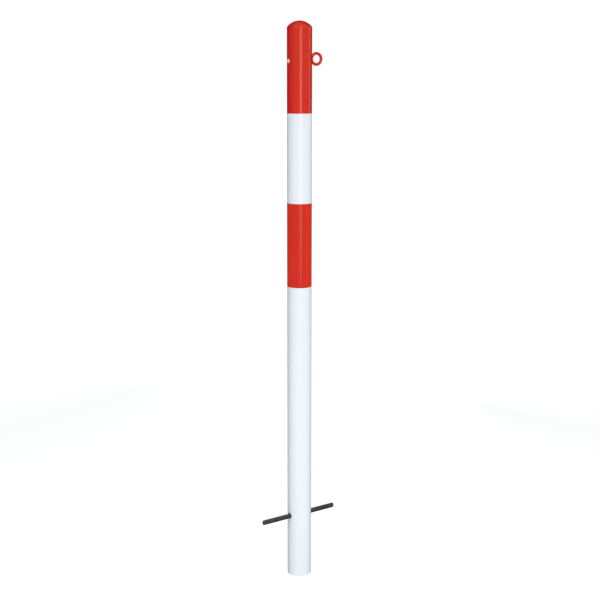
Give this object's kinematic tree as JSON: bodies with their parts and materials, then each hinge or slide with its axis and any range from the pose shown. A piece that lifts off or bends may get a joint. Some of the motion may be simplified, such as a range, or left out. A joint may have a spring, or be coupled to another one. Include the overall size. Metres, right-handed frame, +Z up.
{
  "type": "barrier post",
  "caption": "Red and white barrier post to set in concrete: coated steel tube with welded dome, chain eye, vent plug, reflective film band and loose anchor rod.",
  "frame": {"origin": "middle of the tube on the plane of its foot, on the surface that the post stands on", "axes": "+Z up the tube's axis, X along the anchor rod with +X on the chain eye's side, Y across"},
  "size_m": [0.216, 0.0608, 1.4],
  "materials": {
    "white_coating": "gloss white powder coat on the steel tube, painted gloss red above the paint line",
    "red_paint": "gloss traffic red paint",
    "white_plastic": "moulded, satin",
    "red_film": "stuck-on reflective film, satin",
    "rolled_steel": "bare hot-rolled bar with dark mill scale and rusty cut ends"
  },
  "bodies": {
    "root": {"post_tube": "white_coating", "dome_cap": "red_paint", "chain_eye": "red_paint", "vent_plug": "white_plastic", "reflective_band": "red_film", "anchor_rod": "rolled_steel"}
  },
  "joints": []
}
